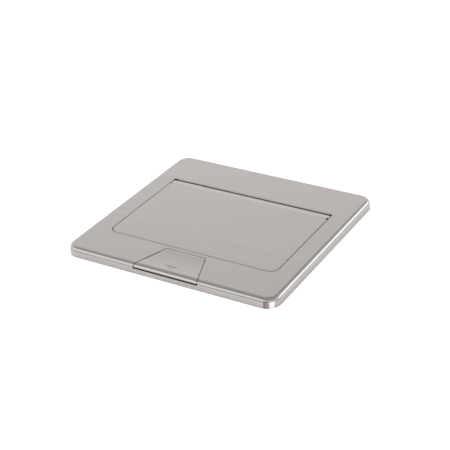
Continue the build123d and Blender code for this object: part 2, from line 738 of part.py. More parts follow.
jack_width = 11.8
jack_height = 8.2
jack_depth = 14.0
jack_up = 1.0
with BuildPart() as data_insert:
    add(insert_body(data_x))
    with BuildSketch(panel_plane.offset(module_proud - jack_depth)):
        with Locations((data_x, jack_up)):
            Rectangle(jack_width, jack_height)
        with Locations((data_x, jack_up - jack_height / 2)):
            Rectangle(6.0, 4.0)
            Rectangle(3.4, 7.2)
    extrude(amount=2 * jack_depth, mode=Mode.SUBTRACT)
finish(data_insert, "data_insert")

with BuildPart() as data_contacts:
    with BuildSketch(panel_plane.offset(module_proud - jack_depth)):
        with Locations((data_x, jack_up + jack_height / 2 - 0.6)):
            with GridLocations(1.02, 1.0, 8, 1):
                Rectangle(0.45, 0.9)
    extrude(amount=jack_depth - 4.0)
finish(data_contacts, "data_contacts")

# ---------------------------------------------------------------- damper and its gearing
sector_radius = gear_module * sector_teeth / 2
pinion_radius = gear_module * pinion_teeth / 2
gear_distance = sector_radius + pinion_radius
pinion_y, pinion_z = around_hinge(gear_distance, mesh_direction)
pressure_angle = 20.0
tooth_play = 0.08


def tooth_half_angle(radius, pitch_radius, teeth):
    """Half the angle that an involute tooth fills at a radius."""
    base = pitch_radius * cos(radians(pressure_angle))
    involute = tan(radians(pressure_angle)) - radians(pressure_angle)
    at_pitch = pi / (2 * teeth) - tooth_play / 2 / pitch_radius
    if radius <= base:
        return at_pitch + involute
    slope = acos(base / radius)
    return at_pitch + involute - (tan(slope) - slope)


def gear_outline(centre, pitch_radius, teeth, first_tooth):
    """Corner points of a whole gear's outline, with stub teeth, round a centre."""
    root = pitch_radius - 1.1 * gear_module
    tip = pitch_radius + 0.8 * gear_module
    steps = [root + (tip - root) * i / 5 for i in range(6)]
    points = []
    for tooth in range(teeth):
        middle = radians(first_tooth) + 2 * pi * tooth / teeth
        for radius in steps:
            angle = middle - tooth_half_angle(radius, pitch_radius, teeth)
            points.append((centre[0] + radius * cos(angle), centre[1] + radius * sin(angle)))
        for radius in reversed(steps):
            angle = middle + tooth_half_angle(radius, pitch_radius, teeth)
            points.append((centre[0] + radius * cos(angle), centre[1] + radius * sin(angle)))
    return points


gear_inner = cheek_inner - gear_sheet
with BuildPart() as toothed_sector:
    with BuildSketch(Plane.YZ.offset(gear_inner)):
        with BuildLine():
            hinge = (axis_y, axis_z)
            Polyline(*gear_outline(hinge, sector_radius, sector_teeth, mesh_direction), close=True)
        make_face()
        with Locations((axis_y, axis_z)):
            Circle(rod_radius + 2.0, mode=Mode.SUBTRACT)
    extrude(amount=gear_sheet)
    add(hinge_sector(sector_from, sector_to, 2 * sector_radius), mode=Mode.INTERSECT)
    with Locations(*[(gear_inner, y, z) for y, z in sector_screw_places]):
        Cylinder(sector_screw_radius + thread_fit, 4 * gear_sheet, rotation=(0, 90, 0),
                 mode=Mode.SUBTRACT)
finish(toothed_sector, "toothed_sector")

with BuildPart() as sector_screws:
    screw = pan_screw(sector_screw_radius, gear_sheet + cheek_sheet - 0.1, 1.8, 0.9)
    for y, z in sector_screw_places:
        add(place(screw, (gear_inner, y, z), (-1, 0, 0), (0, 1, 0)))
finish(sector_screws, "sector_screws")

damper_inner = gear_inner - 9.6
damper_length = 9.0
shaft_radius = 1.2
with BuildPart() as damper_pinion:
    with BuildSketch(Plane.YZ.offset(gear_inner)):
        with BuildLine():
            first_gap = mesh_direction + 180 + 180 / pinion_teeth
            pinion = (pinion_y, pinion_z)
            Polyline(*gear_outline(pinion, pinion_radius, pinion_teeth, first_gap), close=True)
        make_face()
    extrude(amount=gear_sheet - clearance)
    with Locations((gear_inner, pinion_y, pinion_z)):
        Cylinder(shaft_radius, damper_length - 3.0, rotation=(0, 90, 0),
                 align=(Align.CENTER, Align.CENTER, Align.MAX))
finish(damper_pinion, "damper_pinion")

damper_screw_reach = 9.2
damper_screw_radius = 1.0
damper_ear = 2.0
damper_screw_places = [(pinion_y - damper_screw_reach, pinion_z),
                       (pinion_y + damper_screw_reach, pinion_z)]
with BuildPart() as damper_body:
    with Locations((damper_inner, pinion_y, pinion_z)):
        Cylinder(damper_radius, damper_length, rotation=(0, 90, 0),
                 align=(Align.CENTER, Align.CENTER, Align.MIN))
    fillet(damper_body.edges().sort_by(Axis.X)[-1], 0.8)
    with BuildSketch(Plane.YZ.offset(damper_inner)):
        with Locations((pinion_y, pinion_z)):
            SlotOverall(2 * damper_screw_reach + 6.0, 6.0)
    extrude(amount=damper_ear)
    with Locations((damper_inner + damper_length, pinion_y, pinion_z)):
        Cylinder(shaft_radius + running_fit, damper_length - 2.0, rotation=(0, 90, 0),
                 align=(Align.CENTER, Align.CENTER, Align.MAX), mode=Mode.SUBTRACT)
    with Locations(*[(damper_inner, y, z) for y, z in damper_screw_places]):
        Cylinder(damper_screw_radius + thread_fit, 4 * damper_ear, rotation=(0, 90, 0),
                 mode=Mode.SUBTRACT)
finish(damper_body, "damper_body")

bracket_sheet = 1.5
shelf_top = axis_z - 12.0
shelf_front = axis_y - 5.5
shelf_left = -38.0
with BuildPart() as rear_bracket:
    with BuildSketch(Plane.XY.offset(shelf_top - bracket_sheet)):
        with Locations(((shelf_left + damper_inner) / 2, (shelf_front + frame_inner_y) / 2)):
            Rectangle(damper_inner - shelf_left, frame_inner_y - shelf_front)
    extrude(amount=bracket_sheet)
    with BuildSketch(Plane.XZ.offset(-frame_inner_y)):
        with Locations(((shelf_left + damper_inner) / 2, (shelf_top + bracket_screw_z + 3.4) / 2)):
            Rectangle(damper_inner - shelf_left, bracket_screw_z + 3.4 - shelf_top)
    extrude(amount=bracket_sheet)
    with BuildSketch(Plane.YZ.offset(damper_inner - bracket_sheet)):
        with BuildLine():
            Polyline(
                (shelf_front, shelf_top - bracket_sheet),
                (shelf_front, shelf_top),
                (frame_inner_y, shelf_top),
                (damper_screw_places[1][0] + 4.0, pinion_z - 5.0),
                (damper_screw_places[0][0] - 4.0, pinion_z - 5.0),
                (damper_screw_places[0][0] - 4.0, pinion_z + 3.0),
                close=True,
            )
        make_face()
    extrude(amount=bracket_sheet)
    with Locations(*[(damper_inner, y, z) for y, z in damper_screw_places]):
        Cylinder(damper_screw_radius + thread_fit, 4 * bracket_sheet, rotation=(0, 90, 0),
                 mode=Mode.SUBTRACT)
    with Locations(*[(x, frame_inner_y, bracket_screw_z) for x in bracket_screw_places]):
        Cylinder(box_screw_radius + thread_fit, 4 * bracket_sheet, rotation=(90, 0, 0),
                 mode=Mode.SUBTRACT)
finish(rear_bracket, "rear_bracket")

with BuildPart() as damper_screws:
    screw = pan_screw(damper_screw_radius, damper_ear + bracket_sheet - 0.1, 1.8, 0.9)
    for y, z in damper_screw_places:
        add(place(screw, (damper_inner + damper_ear, y, z), (1, 0, 0), (0, 1, 0)))
finish(damper_screws, "damper_screws")

with BuildPart() as bracket_screws:
    screw = flat_screw(box_screw_radius, frame_wall + bracket_sheet, box_screw_head, flat_head)
    for x in bracket_screw_places:
        add(place(screw, (x, frame_half_y - 0.05, bracket_screw_z), (0, 1, 0)))
finish(bracket_screws, "bracket_screws")

# ---------------------------------------------------------------- lid springs
spring_x = 28.0
spring_coil = 6.0
spring_mean = rod_radius + 1.2
spring_wire = 0.4


def wire(start, end):
    """A straight length of spring wire between two points."""
    start, end = Vector(*start), Vector(*end)
    run = end - start
    side = (1, 0, 0) if abs(run.X) < 0.5 * run.length else (0, 1, 0)
    with BuildPart(Plane(origin=start, x_dir=side, z_dir=run.normalized())) as length_of_wire:
        Cylinder(spring_wire - 0.05, run.length, align=(Align.CENTER, Align.CENTER, Align.MIN))
    return length_of_wire.part


def lid_spring(x, side):
    """A torsion spring on the hinge rod, as a sleeve with its two legs."""
    with BuildPart() as spring:
        with Locations((x, axis_y, axis_z)):
            Cylinder(spring_mean + spring_wire, spring_coil, rotation=(0, 90, 0))
            Cylinder(spring_mean - spring_wire, 2 * spring_coil, rotation=(0, 90, 0),
                     mode=Mode.SUBTRACT)
        inner_end = x - side * (spring_coil / 2 - spring_wire)
        outer_end = x + side * (spring_coil / 2 - spring_wire)
        front_y, front_z = around_hinge(spring_mean, 180.0)
        add(wire((inner_end, front_y, front_z), (inner_end, front_y, shelf_top)))
        lift_z = carrier_bottom - spring_wire - 0.1
        add(wire((outer_end, axis_y - 0.8 * spring_mean, lift_z),
                 (outer_end, rear_bar_front + 4.0, lift_z)))
    return spring


spring_left = lid_spring(-spring_x, -1)
finish(spring_left, "spring_left")
spring_right = lid_spring(spring_x, 1)
finish(spring_right, "spring_right")

# ---------------------------------------------------------------- latch
with BuildPart() as latch_slide:
    with BuildSketch(Plane.XY.offset(top - slide_sheet)) as slide_outline:
        with BuildLine():
            Polyline(*wedge_points(slide_rear, -plate_depth / 2 - 1, 0), close=True)
        make_face()
        fillet(slide_outline.vertices().group_by(Axis.Y)[-1], slide_corner)
    extrude(amount=slide_sheet)
    # lip turned down along the front
    with BuildSketch(Plane.XY.offset(top - slide_sheet - slide_lip)):
        with BuildLine():
            Polyline(*wedge_points(slide_lip_depth - plate_depth / 2, -plate_depth / 2 - 1, 0), close=True)
        make_face()
    extrude(amount=slide_lip)
    add(cover_blank.part, mode=Mode.INTERSECT)
    # shallow hollow for the finger
    dish_chord = slide_length - 4.0
    dish_radius = (dish_chord**2 / 4 + slide_dish**2) / (2 * slide_dish)
    with Locations((0, slide_rear - slide_length / 2 + 0.6, top - slide_dish + dish_radius)):
        Cylinder(dish_radius, 2 * slide_front_width, rotation=(0, 90, 0), mode=Mode.SUBTRACT)
    # pressed triangle that points the way to pull
    arrow_rear = -plate_depth / 2 + 7.9
    with BuildSketch(Plane.XY.offset(top - arrow_depth - 0.1)):
        with BuildLine():
            Polyline((-arrow_width / 2, arrow_rear), (arrow_width / 2, arrow_rear),
                     (0, arrow_rear - arrow_length), close=True)
        make_face()
    extrude(amount=plate_height, mode=Mode.SUBTRACT)
    # runners on the pocket's floor, and the stem through its slot
    runner_height = pocket_depth - slide_sheet - 0.1
    with Locations((-8.5, stem_y - 3.0, top - slide_sheet), (8.5, stem_y - 3.0, top - slide_sheet)):
        Box(1.6, 14.0, runner_height, align=(Align.CENTER, Align.CENTER, Align.MAX))
    with Locations((0, stem_y, top - slide_sheet)):
        Box(stem_width, stem_length, top - slide_sheet - nose_high,
            align=(Align.CENTER, Align.CENTER, Align.MAX))
    latch_screw_x = stem_width / 2 - 2.0
    latch_screw_radius = 0.8
    with Locations((-latch_screw_x, stem_y, nose_high), (latch_screw_x, stem_y, nose_high)):
        Cylinder(latch_screw_radius + thread_fit, 2.6,
                 align=(Align.CENTER, Align.CENTER, Align.MIN), mode=Mode.SUBTRACT)
finish(latch_slide, "latch_slide")

bolt_front = stem_y - stem_length / 2 - 0.6
bolt_rear = slide_rear + 1.0
wing_front = slide_rear - 2.0
guide_front = -box_inner_y + 0.4
guide_rear = slide_rear + 0.8
with BuildPart() as latch_bolt:
    with BuildSketch(Plane.XY.offset(nose_low)):
        with BuildLine():
            Polyline(
                (-bolt_width / 2, bolt_front), (bolt_width / 2, bolt_front),
                (bolt_width / 2, wing_front), (wing_reach, wing_front),
                (wing_reach, bolt_rear), (nose_width / 2, bolt_rear),
                (nose_width / 2, nose_tip), (-nose_width / 2, nose_tip),
                (-nose_width / 2, bolt_rear), (-wing_reach, bolt_rear),
                (-wing_reach, wing_front), (-bolt_width / 2, wing_front),
                close=True,
            )
        make_face()
    extrude(amount=bolt_sheet)
    chamfer(
        latch_bolt.edges().filter_by(Axis.X).filter_by(
            lambda e: abs(e.center().Y - nose_tip) < 0.01 and e.center().Z > nose_high - 0.01
        ),
        0.8,
    )
    with Locations((-latch_screw_x, stem_y, nose_low), (latch_screw_x, stem_y, nose_low)):
        Cylinder(latch_screw_radius + thread_fit, 2 * bolt_sheet, mode=Mode.SUBTRACT,
                 align=(Align.CENTER, Align.CENTER, Align.MIN))
finish(latch_bolt, "latch_bolt")

with BuildPart() as latch_screws:
    screw = pan_screw(latch_screw_radius, bolt_sheet + 2.4, 1.5, 0.9)
    for side in (-1, 1):
        add(place(screw, (side * latch_screw_x, stem_y, nose_low), (0, 0, -1)))
finish(latch_screws, "latch_screws")

guide_sheet = 1.2
guide_floor = nose_low - 2.2
guide_inner = wing_reach + clearance
with BuildPart() as latch_guide:
    with BuildSketch(Plane.XY.offset(guide_floor - guide_sheet)):
        with Locations((0, (guide_front + guide_rear) / 2)):
            Rectangle(2 * (guide_inner + guide_sheet), guide_rear - guide_front)
    extrude(amount=guide_sheet)
    with BuildSketch(Plane.XY.offset(guide_floor)):
        for side in (-1, 1):
            with Locations((side * (guide_inner + guide_sheet / 2), (guide_front + guide_rear) / 2)):
                Rectangle(guide_sheet, guide_rear - guide_front)
        with Locations((0, guide_front + guide_sheet / 2)):
            Rectangle(2 * guide_inner, guide_sheet)
    extrude(amount=tray_bottom - guide_floor)
    # the front wall lets the bolt through when it is drawn
    with BuildSketch(Plane.XY.offset(guide_floor + 0.4)):
        with Locations((0, guide_front)):
            Rectangle(bolt_width + 2 * clearance, 4 * guide_sheet)
    extrude(amount=plate_height, mode=Mode.SUBTRACT)
    # ears under the cover's bosses
    with BuildSketch(Plane.XY.offset(boss_bottom - guide_sheet)):
        for side in (-1, 1):
            with Locations((side * (guide_inner + boss_x + boss_radius) / 2, boss_y)):
                Rectangle(boss_x + boss_radius - guide_inner, 6.0)
    extrude(amount=guide_sheet)
    with Locations((-boss_x, boss_y, boss_bottom), (boss_x, boss_y, boss_bottom)):
        Cylinder(guide_screw_radius + thread_fit, 4 * guide_sheet, mode=Mode.SUBTRACT)
finish(latch_guide, "latch_guide")

with BuildPart() as guide_screws:
    screw = pan_screw(guide_screw_radius, guide_sheet + 3.0, 2.2, 1.2)
    for side in (-1, 1):
        add(place(screw, (side * boss_x, boss_y, boss_bottom - guide_sheet), (0, 0, -1)))
finish(guide_screws, "guide_screws")

latch_spring_x = (bolt_width / 2 + wing_reach) / 2
latch_spring_start = guide_front + guide_sheet
latch_spring_z = guide_floor + clearance + latch_spring_radius
with BuildPart() as latch_springs:
    for side in (-1, 1):
        spring_start = (side * latch_spring_x, latch_spring_start, latch_spring_z)
        with BuildSketch(Plane(origin=spring_start, x_dir=(1, 0, 0), z_dir=(0, 1, 0))):
            Circle(latch_spring_radius)
            Circle(latch_spring_radius - 2 * latch_wire, mode=Mode.SUBTRACT)
        extrude(amount=wing_front - latch_spring_start)
finish(latch_springs, "latch_springs")

# ---------------------------------------------------------------- box below the desk
box_top = -0.3
entry_z = 22.0 - box_depth
entry_radius = 9.0
entry_places = [-30.0, 0.0, 30.0]
claw_screw_radius = 2.0
claw_screw_drop = 13.0
claw_top = -desk_thickness
claw_down = box_depth - desk_thickness - claw_screw_drop - 9.0
slot_top = claw_top - claw_screw_drop + claw_up + claw_screw_radius + clearance
slot_bottom = claw_top - claw_screw_drop - claw_down - claw_screw_radius - clearance
earth_x = -32.0
earth_y = -34.0
earth_radius = 2.0
with BuildPart() as installation_box:
    with BuildSketch(Plane.XY.offset(-box_depth)):
        RectangleRounded(box_size_x, box_size_y, box_corner)
    extrude(amount=box_depth + box_top)
    fillet(installation_box.faces().sort_by(Axis.Z)[0].edges(), 2.5)
    with BuildSketch(Plane.XY.offset(-box_depth + box_wall)):
        RectangleRounded(2 * box_inner_x, 2 * box_inner_y, box_corner - box_wall)
    extrude(amount=box_depth, mode=Mode.SUBTRACT)
    with Locations(*[(x, box_size_y / 2, entry_z) for x in entry_places]):
        Cylinder(entry_radius, 4 * box_wall, rotation=(90, 0, 0), mode=Mode.SUBTRACT)
    with Locations((0, 0, (slot_top + slot_bottom) / 2)):
        Box(2 * box_size_x, 2 * (claw_screw_radius + clearance), slot_top - slot_bottom,
            mode=Mode.SUBTRACT)
    for side in (-1, 1):
        for y in (-box_screw_y, box_screw_y):
            with Locations((side * box_size_x / 2, y, box_screw_z)):
                Cylinder(box_screw_radius + thread_fit, 4 * box_wall, rotation=(0, 90, 0),
                         mode=Mode.SUBTRACT)
            with Locations((side * (box_size_x / 2 - flat_head / 2), y, box_screw_z)):
                Cone(box_screw_radius + thread_fit, box_screw_head + 0.1, flat_head,
                     rotation=(0, side * 90, 0), mode=Mode.SUBTRACT)
    with Locations((earth_x, earth_y, -box_depth)):
        Cylinder(earth_radius + thread_fit, 4 * box_wall, mode=Mode.SUBTRACT)
finish(installation_box, "installation_box")

with BuildPart() as box_screws:
    screw = flat_screw(box_screw_radius, box_wall + frame_gap + frame_wall + 1.6, box_screw_head,
                       flat_head)
    for side in (-1, 1):
        for y in (-box_screw_y, box_screw_y):
            add(place(screw, (side * (box_size_x / 2 - 0.05), y, box_screw_z), (side, 0, 0), (0, 1, 0)))
finish(box_screws, "box_screws")

grommet_bore = 6.0
grommet_flange = 1.4


def entry_ring(x, bore):
    """A rubber piece snapped into a cable entry; a bore of 0 makes it a plug."""
    with BuildPart() as ring:
        plane = Plane(origin=(x, box_inner_y, entry_z), x_dir=(1, 0, 0), z_dir=(0, 1, 0))
        with BuildSketch(plane.offset(-grommet_flange)):
            Circle(entry_radius + 1.6)
        extrude(amount=grommet_flange)
        with BuildSketch(plane):
            Circle(entry_radius - 0.05)
        extrude(amount=box_wall)
        with BuildSketch(plane.offset(box_wall)):
            Circle(entry_radius + 1.6)
        extrude(amount=grommet_flange, taper=20)
        if bore:
            with BuildSketch(plane.offset(-2 * grommet_flange)):
                Circle(bore)
            extrude(amount=6 * grommet_flange, mode=Mode.SUBTRACT)
    return ring


cable_grommet = entry_ring(entry_places[1], grommet_bore)
finish(cable_grommet, "cable_grommet")

with BuildPart() as entry_plugs:
    add(entry_ring(entry_places[0], 0).part)
    add(entry_ring(entry_places[2], 0).part)
finish(entry_plugs, "entry_plugs")

with BuildPart() as earth_terminal:
    with BuildSketch(Plane.XY.offset(-box_depth + 0.4)):
        with Locations((earth_x, earth_y)):
            Circle(earth_radius)
    extrude(amount=box_wall + 5.6)
    with BuildSketch(Plane.XY.offset(-box_depth + box_wall)):
        with Locations((earth_x, earth_y)):
            Circle(4.5)
    extrude(amount=0.8)
    with BuildSketch(Plane.XY.offset(-box_depth + box_wall + 0.8)):
        with Locations((earth_x, earth_y)):
            RegularPolygon(4.0, 6)
    extrude(amount=3.0)
finish(earth_terminal, "earth_terminal")

# ---------------------------------------------------------------- desk clamps
claw_inner = box_size_x / 2 + clearance
claw_screw_z = claw_top - claw_screw_drop
knob_radius = 6.5
knob_length = 5.5
nut_half = 3.5
for side, name in ((-1, "left"), (1, "right")):
    with BuildPart() as clamp_claw:
        with Locations((side * (claw_inner + claw_sheet / 2), 0, claw_top)):
            Box(claw_sheet, claw_width, claw_screw_drop + 8.0,
                align=(Align.CENTER, Align.CENTER, Align.MAX))
        with Locations((side * (claw_inner + claw_reach / 2), 0, claw_top)):
            Box(claw_reach, claw_width, claw_sheet, align=(Align.CENTER, Align.CENTER, Align.MAX))
        for y in (-claw_width / 2 + 2.0, claw_width / 2 - 2.0):
            with BuildSketch(Plane.XZ.offset(-y)):
                with BuildLine():
                    Polyline(
                        (side * (claw_inner + claw_sheet / 2), claw_top - claw_sheet / 2),
                        (side * (claw_inner + claw_reach - 3.0), claw_top - claw_sheet / 2),
                        (side * (claw_inner + claw_sheet / 2), claw_top - claw_screw_drop - 2.0),
                        close=True,
                    )
                make_face()
            extrude(amount=0.8, both=True)
        with Locations((side * claw_inner, 0, claw_screw_z)):
            Cylinder(claw_screw_radius + 0.1, 4 * claw_sheet, rotation=(0, 90, 0), mode=Mode.SUBTRACT)
    finish(clamp_claw, "clamp_claw_" + name)

    with BuildPart() as clamp_screw:
        knob_plane = Plane(origin=(side * (claw_inner + claw_sheet), 0, claw_screw_z),
                           x_dir=(0, 1, 0), z_dir=(side, 0, 0))
        with BuildSketch(knob_plane):
            Circle(knob_radius)
            with PolarLocations(knob_radius + 0.5, 10):
                Circle(1.2, mode=Mode.SUBTRACT)
        extrude(amount=knob_length)
        with BuildSketch(knob_plane.offset(-claw_sheet - clearance - box_wall - 3.4)):
            Circle(claw_screw_radius)
        extrude(amount=claw_sheet + clearance + box_wall + 3.4)
    finish(clamp_screw, "clamp_screw_" + name)

    with BuildPart() as clamp_nut:
        with Locations((side * (box_inner_x - clearance - 1.3), 0, claw_screw_z)):
            Box(2.6, 2 * nut_half, 2 * nut_half)
            Cylinder(claw_screw_radius + thread_fit, 10.0, rotation=(0, 90, 0), mode=Mode.SUBTRACT)
    finish(clamp_nut, "clamp_nut_" + name)
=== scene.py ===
"""A square desk grommet of brushed steel, set in a white desk top.

The cover, its lid and its latch slide lie flush in the desk. Under them are the box, the sprung and
damped lid gear, and the row of outlets that the lid lifts. Lengths are in metres.
"""

import math

import bmesh
import bpy
from mathutils import Matrix, Vector


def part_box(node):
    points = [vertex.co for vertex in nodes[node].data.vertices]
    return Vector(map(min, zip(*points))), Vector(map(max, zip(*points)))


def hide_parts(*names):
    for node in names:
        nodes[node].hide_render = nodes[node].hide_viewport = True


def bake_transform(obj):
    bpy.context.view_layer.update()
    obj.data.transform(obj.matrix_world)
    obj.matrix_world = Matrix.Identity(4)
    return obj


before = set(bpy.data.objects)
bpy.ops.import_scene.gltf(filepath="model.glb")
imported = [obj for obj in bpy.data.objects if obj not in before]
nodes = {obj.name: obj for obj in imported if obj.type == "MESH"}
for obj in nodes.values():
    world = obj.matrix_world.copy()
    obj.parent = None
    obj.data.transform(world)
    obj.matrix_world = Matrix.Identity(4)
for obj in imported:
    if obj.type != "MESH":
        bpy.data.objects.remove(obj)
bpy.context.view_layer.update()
mm = 0.001

# ---------------------------------------------------------------- camera
# A long lens on a stand to the right of the latch. It looks down on the cover from about an arm's
# length, with the stand leaning a degree and a half.
camera_azimuth = math.radians(29.65)
camera_elevation = math.radians(28.65)
camera_lean = math.radians(-1.5)
camera_distance = 688.8 * mm
camera_aside = 0.676 * mm
camera_above = -2.783 * mm
cover_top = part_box("cover_frame")[1].z

back = Vector((math.sin(camera_azimuth) * math.cos(camera_elevation),
               -math.cos(camera_azimuth) * math.cos(camera_elevation),
               math.sin(camera_elevation)))
level_right = Vector((math.cos(camera_azimuth), math.sin(camera_azimuth), 0))
level_up = back.cross(level_right)
right = level_right * math.cos(camera_lean) + level_up * math.sin(camera_lean)
up = level_up * math.cos(camera_lean) - level_right * math.sin(camera_lean)
stand = back * camera_distance + right * camera_aside + up * camera_above
stand.z += cover_top

lens = bpy.data.cameras.new("studio_camera")
lens.lens = 97.056
lens.sensor_width = 36
camera = bpy.data.objects.new("studio_camera", lens)
camera.matrix_world = Matrix.Translation(stand) @ Matrix((right, up, back)).transposed().to_4x4()
bpy.context.scene.collection.objects.link(camera)
bpy.context.scene.camera = camera
bpy.context.scene.view_settings.view_transform = "Standard"


# ---------------------------------------------------------------- studio
# White walls that fade to a dark ceiling, a bright window wall behind on the right and a soft panel
# in front on the left. One wide lamp overhead lights the desk without showing in the metal.
class Value:
    """A shader socket. Arithmetic with it adds Math nodes to its tree."""

    def __init__(self, shading, socket):
        self.shading = shading
        self.socket = socket

    def math(self, operation, first, second=0.0):
        node = self.shading.add("ShaderNodeMath", {"operation": operation}, {0: first, 1: second})
        return Value(self.shading, node.outputs[0])

    def __add__(self, other):
        return self.math("ADD", self, other)

    def __sub__(self, other):
        return self.math("SUBTRACT", self, other)

    def __rsub__(self, other):
        return self.math("SUBTRACT", other, self)

    def __mul__(self, other):
        return self.math("MULTIPLY", self, other)

    def __truediv__(self, other):
        return self.math("DIVIDE", self, other)

    def __abs__(self):
        return self.math("ABSOLUTE", self)

    def above(self, other):
        """The larger of this value and another."""
        return self.math("MAXIMUM", self, other)

    def between(self, start, end):
        """Rises smoothly from 0 at start to 1 at end."""
        node = self.shading.add(
            "ShaderNodeMapRange", {"interpolation_type": "SMOOTHSTEP"},
            {"Value": self, "From Min": start, "From Max": end},
        )
        return Value(self.shading, node.outputs["Result"])

    __radd__ = __add__
    __rmul__ = __mul__


class Shading:
    """A shader tree that is being made."""

    def __init__(self, tree):
        self.tree = tree

    def add(self, kind, settings, sockets):
        """Adds a node, sets its settings first, then the values or links of its sockets."""
        node = self.tree.nodes.new(kind)
        for name, setting in settings.items():
            if name == "stops":
                ramp = node.color_ramp.elements
                while len(ramp) < len(setting):
                    ramp.new(1.0)
                for element, (position, colour) in zip(ramp, setting):
                    element.position = position
                    element.color = (*colour, 1.0)
            else:
                setattr(node, name, setting)
        for name, value in sockets.items():
            if isinstance(value, Value):
                self.tree.links.new(value.socket, node.inputs[name])
            else:
                node.inputs[name].default_value = value
        return node

    def out(self, kind, settings, sockets, output=0):
        """Adds a node and gives one of its outputs."""
        return Value(self, self.add(kind, settings, sockets).outputs[output])

    def parts(self, vector):
        """The X, Y and Z of a vector."""
        node = self.add("ShaderNodeSeparateXYZ", {}, {"Vector": vector})
        return [Value(self, output) for output in node.outputs]

    def mix(self, share, first, second):
        """A colour between two colours."""
        return self.out("ShaderNodeMix", {"data_type": "RGBA"}, {0: share, 6: first, 7: second}, 2)


wall_warmth = (1.0, 0.985, 0.983)
world = bpy.data.worlds.new("studio")
world.use_nodes = True
bpy.context.scene.world = world
studio = Shading(world.node_tree)
sky = studio.out("ShaderNodeTexCoord", {}, {}, "Generated")
sky_x, sky_y, sky_z = studio.parts(sky)
height = studio.out("ShaderNodeMath", {"operation": "ARCSINE"}, {0: sky_z}) * (180 / math.pi)
level = studio.out("ShaderNodeMath", {"operation": "SQRT"}, {0: sky_x * sky_x + sky_y * sky_y})


def facing(azimuth, width, fade):
    """1 in the directions within width degrees of a wall's azimuth, counted from +X towards +Y."""
    toward = (sky_x * math.cos(math.radians(azimuth)) + sky_y * math.sin(math.radians(azimuth))) / level
    return toward.between(math.cos(math.radians(width + fade)), math.cos(math.radians(width)))


def lift(low, high, fade):
    """1 between two heights above the horizon, in degrees."""
    return height.between(low - fade, low) * (1 - height.between(high, high + fade))


wall_heights = [(0, 0.62), (11, 0.80), (19, 0.93), (26, 0.80),
                (32, 0.66), (40, 0.50), (52, 0.43), (66, 0.36)]
walls = studio.out(
    "ShaderNodeValToRGB",
    {"stops": [(angle / 90, (light, light, light)) for angle, light in wall_heights]},
    {"Fac": height / 90},
)
window_light = 0.9
panel_light = 0.45
doorway_dark = 0.22
skirting_dark = 0.40
least_light = 0.05
window = facing(53, 12, 14) * lift(13, 25, 5) * window_light
panel = facing(236, 30, 22) * lift(28, 47, 9) * panel_light
doorway = facing(91, 10, 12) * lift(35, 44, 6) * doorway_dark
skirting = facing(55, 42, 20) * lift(0, 5, 4) * skirting_dark
light = (walls + window + panel - doorway - skirting).above(least_light)
sky_shader = studio.add("ShaderNodeBackground", {}, {"Color": (*wall_warmth, 1), "Strength": light})
world.node_tree.links.new(sky_shader.outputs[0], world.node_tree.nodes["World Output"].inputs[0])

lamp = bpy.data.lights.new("overhead_lamp", "SUN")
lamp.energy = 2.6
lamp.angle = math.radians(120)
overhead = bpy.data.objects.new("overhead_lamp", lamp)
overhead.visible_glossy = False
overhead.rotation_euler = (math.radians(14), math.radians(-16), 0)
bpy.context.scene.collection.objects.link(overhead)

# ---------------------------------------------------------------- desk top
# A white laminated slab, 25 mm thick, with the square cut-out that the grommet drops into.
slab_reach = 8.0
slab_thickness = 25 * mm
cutout_half = 57 * mm
cutout_corner = 6 * mm
corner_steps = 6
laminate_white = (0.95, 0.95, 0.95, 1)


def rounded_square(half_x, half_y, corner, steps):
    """Corner points of a rounded rectangle, counter-clockwise."""
    points = []
    for quarter in range(4):
        turn = math.pi / 2 * quarter
        sign_x = 1 if quarter in (0, 3) else -1
        sign_y = 1 if quarter in (0, 1) else -1
        for step in range(steps + 1):
            angle = turn + math.pi / 2 * step / steps
            points.append((sign_x * (half_x - corner) + corner * math.cos(angle),
                           sign_y * (half_y - corner) + corner * math.sin(angle)))
    return points


def new_mesh(name, mesh):
    """Links a finished bmesh as an object at the origin."""
    data = bpy.data.meshes.new(name)
    mesh.to_mesh(data)
    mesh.free()
    piece = bpy.data.objects.new(name, data)
    bpy.context.scene.collection.objects.link(piece)
    return piece


slab = bmesh.new()
hole = rounded_square(cutout_half, cutout_half, cutout_corner, corner_steps)
rings = []
for reach, z in ((slab_reach, 0), (None, 0), (None, -slab_thickness)):
    ring = []
    for x, y in hole:
        stretch = reach / math.hypot(x, y) if reach else 1
        ring.append(slab.verts.new((x * stretch, y * stretch, z)))
    rings.append(ring)
for outer, inner in zip(rings, rings[1:]):
    for i in range(len(hole)):
        after = (i + 1) % len(hole)
        slab.faces.new((outer[i], outer[after], inner[after], inner[i]))
slab.normal_update()
desk_top = new_mesh("desk_top", slab)


def finish(name, **constants):
    """A new material: its shading tree, and its shader with the constant sockets set."""
    material = bpy.data.materials.new(name)
    material.use_nodes = True
    shader = material.node_tree.nodes["Principled BSDF"]
    for socket, value in constants.items():
        shader.inputs[socket.replace("_", " ")].default_value = value
    return material, Shading(material.node_tree), shader


def paint(names, material):
    """Gives a finish to CAD nodes."""
    for name in names:
        for place in nodes[name].material_slots:
            place.material = material


white_laminate, shading, shader = finish("white_laminate", Roughness=0.7, Specular_IOR_Level=0.1,
                                         Emission_Color=(1, 1, 1, 1), Emission_Strength=0.3)
shader.inputs["Base Color"].default_value = laminate_white
desk_top.data.materials.append(white_laminate)

